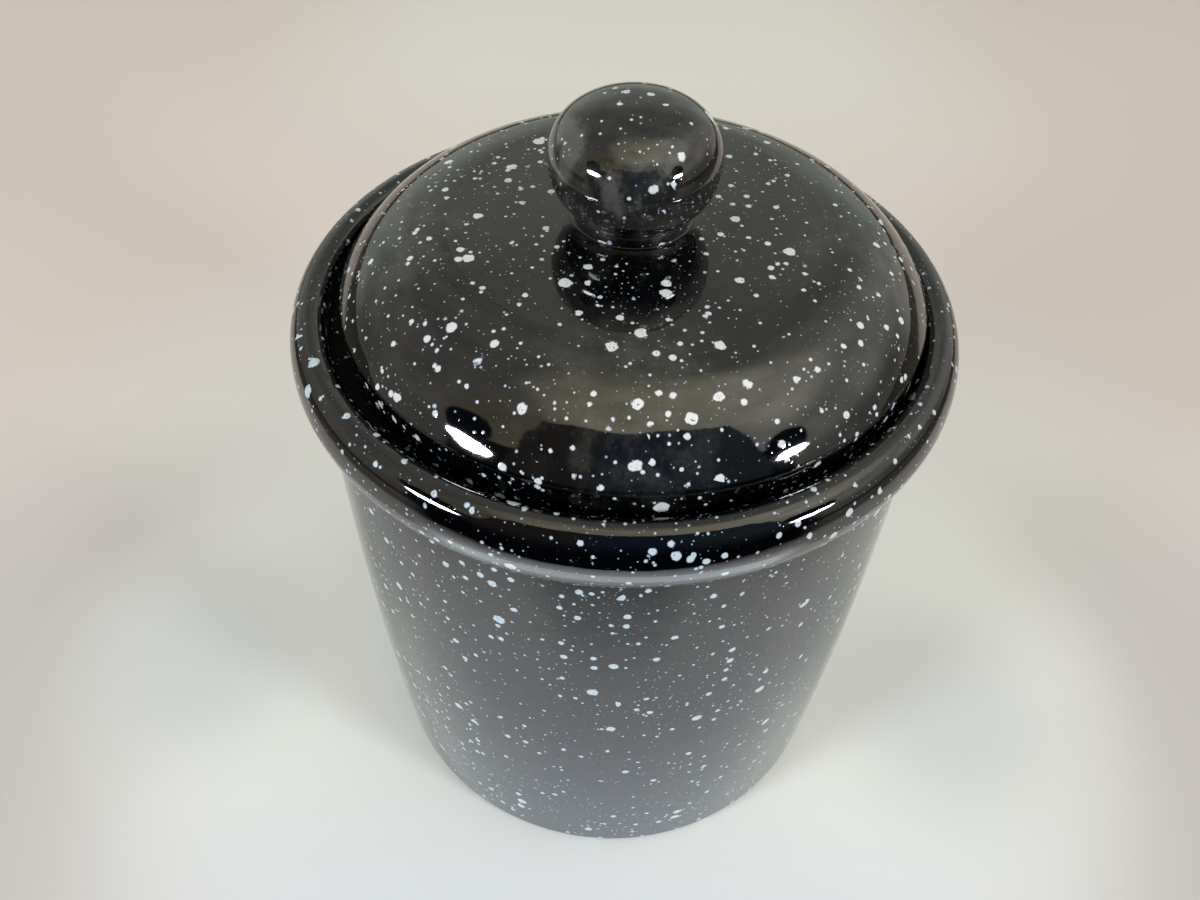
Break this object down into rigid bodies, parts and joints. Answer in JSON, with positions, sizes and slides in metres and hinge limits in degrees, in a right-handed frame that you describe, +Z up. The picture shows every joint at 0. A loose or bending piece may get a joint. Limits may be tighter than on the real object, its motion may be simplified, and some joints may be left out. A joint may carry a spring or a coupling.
{
  "type": "storage canister",
  "caption": "Round glazed ceramic storage canister with a rolled rim and a low domed lid that sits inside the rim and lifts off by its ball knob.",
  "frame": {"origin": "on the surface that it stands on, under the middle of the jar", "axes": "+Z up along the jar's axis; -Y towards the viewer of the picture, +X to the viewer's right"},
  "size_m": [0.16, 0.16, 0.2135],
  "materials": {
    "jar_glaze": "gloss black glaze with white spatter spots",
    "lid_glaze": "gloss black glaze with white spatter spots",
    "knob_glaze": "gloss black glaze with few white spatter spots"
  },
  "bodies": {
    "jar": {"jar": "jar_glaze"},
    "lid": {"lid": "lid_glaze", "knob": "knob_glaze"}
  },
  "joints": [
    {"name": "lid_lift", "type": "slide", "parent": "jar", "child": "lid", "axis": [0, 0, 1], "range_m": [0, 0.12]}
  ]
}
